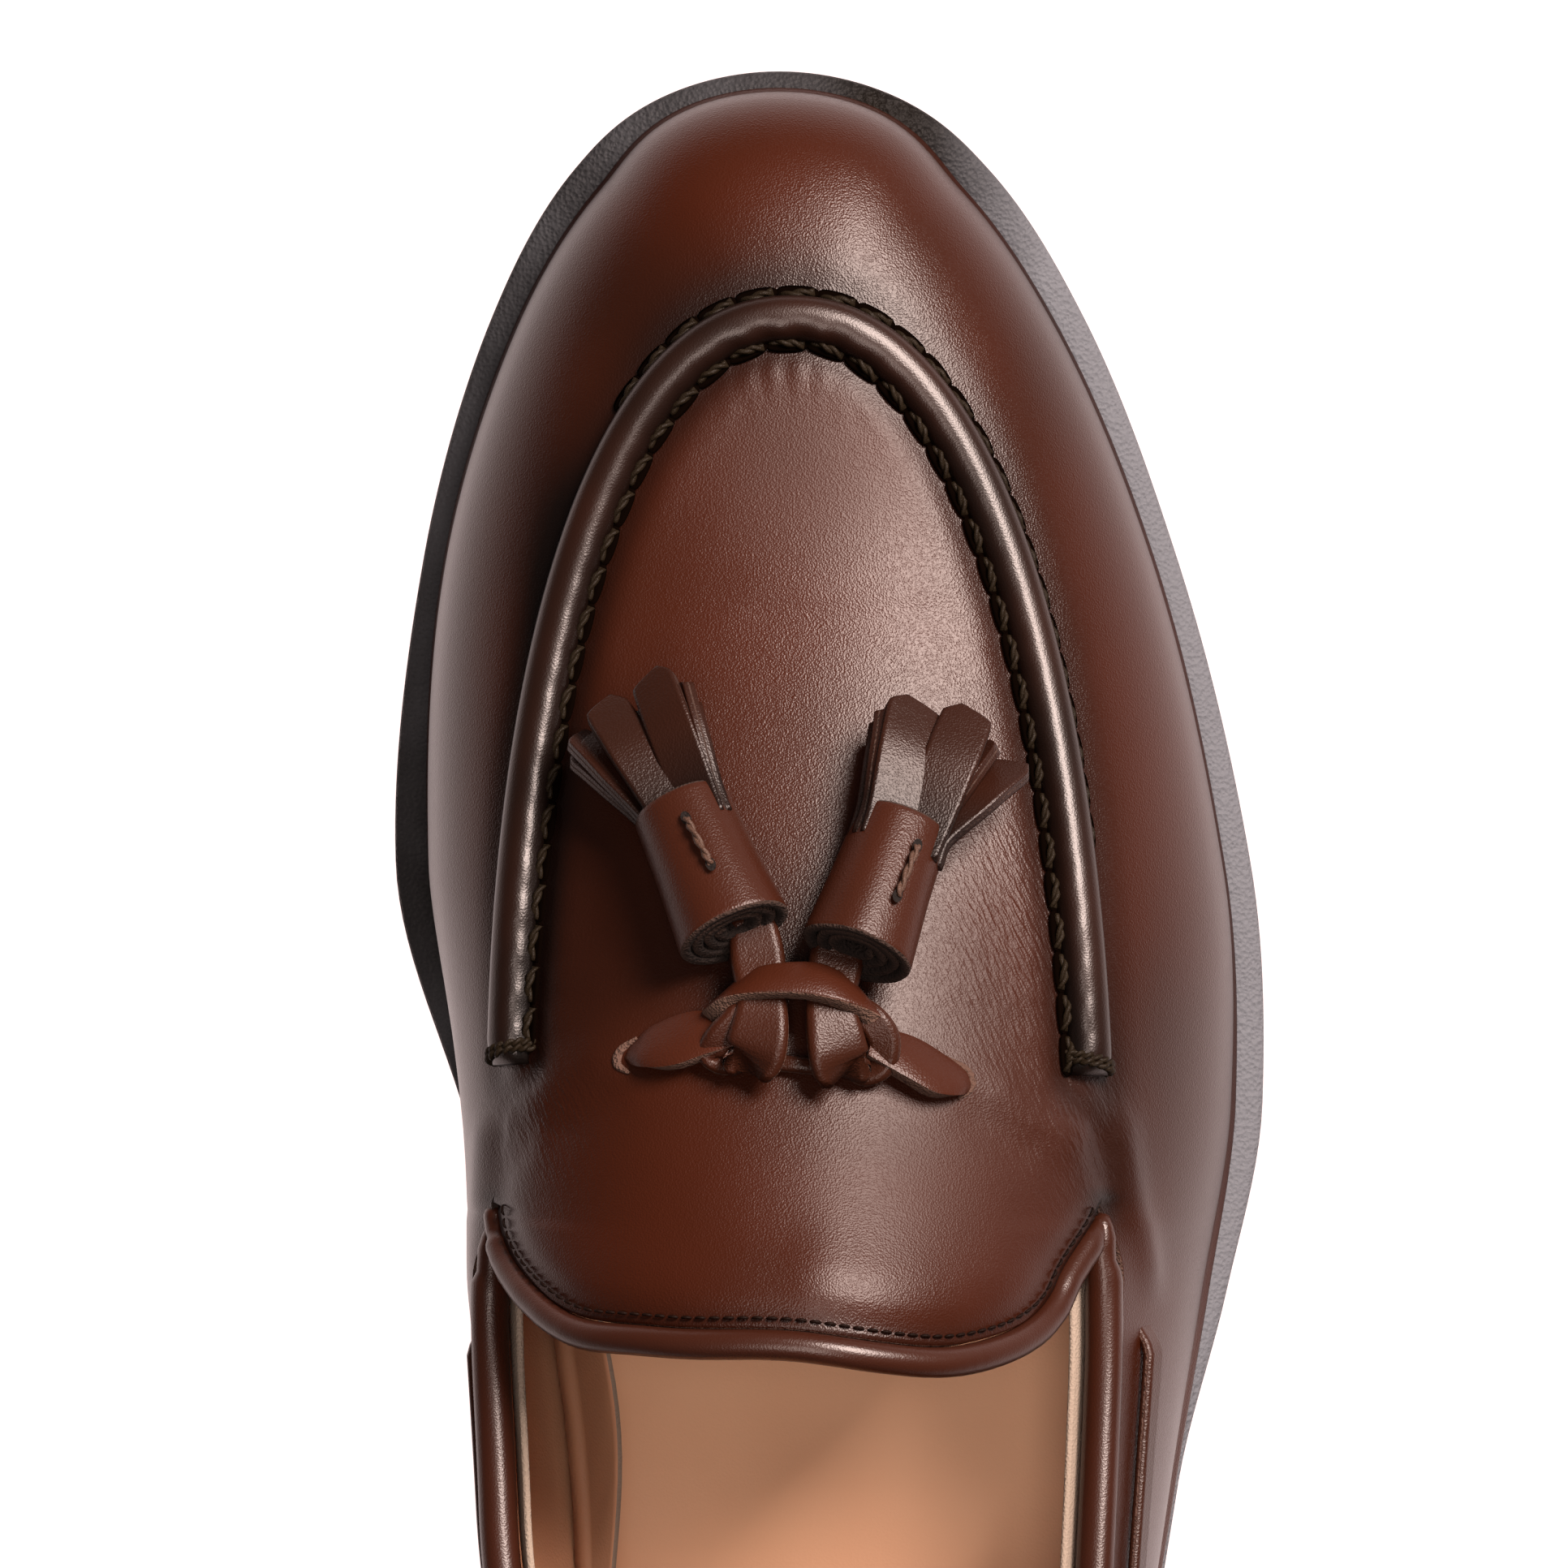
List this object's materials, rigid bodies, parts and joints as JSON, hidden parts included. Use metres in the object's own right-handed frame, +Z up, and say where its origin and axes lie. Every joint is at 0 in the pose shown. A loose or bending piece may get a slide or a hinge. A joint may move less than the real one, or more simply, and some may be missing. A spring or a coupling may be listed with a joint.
{
  "type": "tassel loafer",
  "caption": "Right tassel loafer in burnished calf: hand-sewn apron with raised seam, knotted lace with tassels, low heel; stands empty on its sole.",
  "frame": {"origin": "middle of the shoe's box, on the floor", "axes": "+Z up, +Y towards the toe, +X towards the lateral side of this right shoe"},
  "size_m": [0.1072, 0.294, 0.0864],
  "materials": {
    "calf": "smooth burnished calf, semi-gloss",
    "edge_calf": "dark polished calf, rolled edges",
    "lace_calf": "brown lace leather with raw edges",
    "insole_leather": "tan lining leather, matt",
    "sole_black": "brown-black, pitted"
  },
  "bodies": {
    "root": {"outsole": "sole_black", "heel": "sole_black", "insole": "insole_leather", "upper": "calf", "apron_seam": "edge_calf", "tongue_binding": "edge_calf", "collar_binding": "edge_calf", "quarter_lace_medial": "lace_calf", "quarter_lace_lateral": "lace_calf", "lace_bar_medial": "lace_calf", "lace_bar_lateral": "lace_calf", "lace_loop_medial": "lace_calf", "lace_loop_lateral": "lace_calf", "lace_keeper": "lace_calf", "tassel_cuff_medial": "lace_calf", "tassel_cuff_lateral": "lace_calf", "tassel_fringe_medial": "lace_calf", "tassel_fringe_lateral": "lace_calf"}
  },
  "joints": []
}
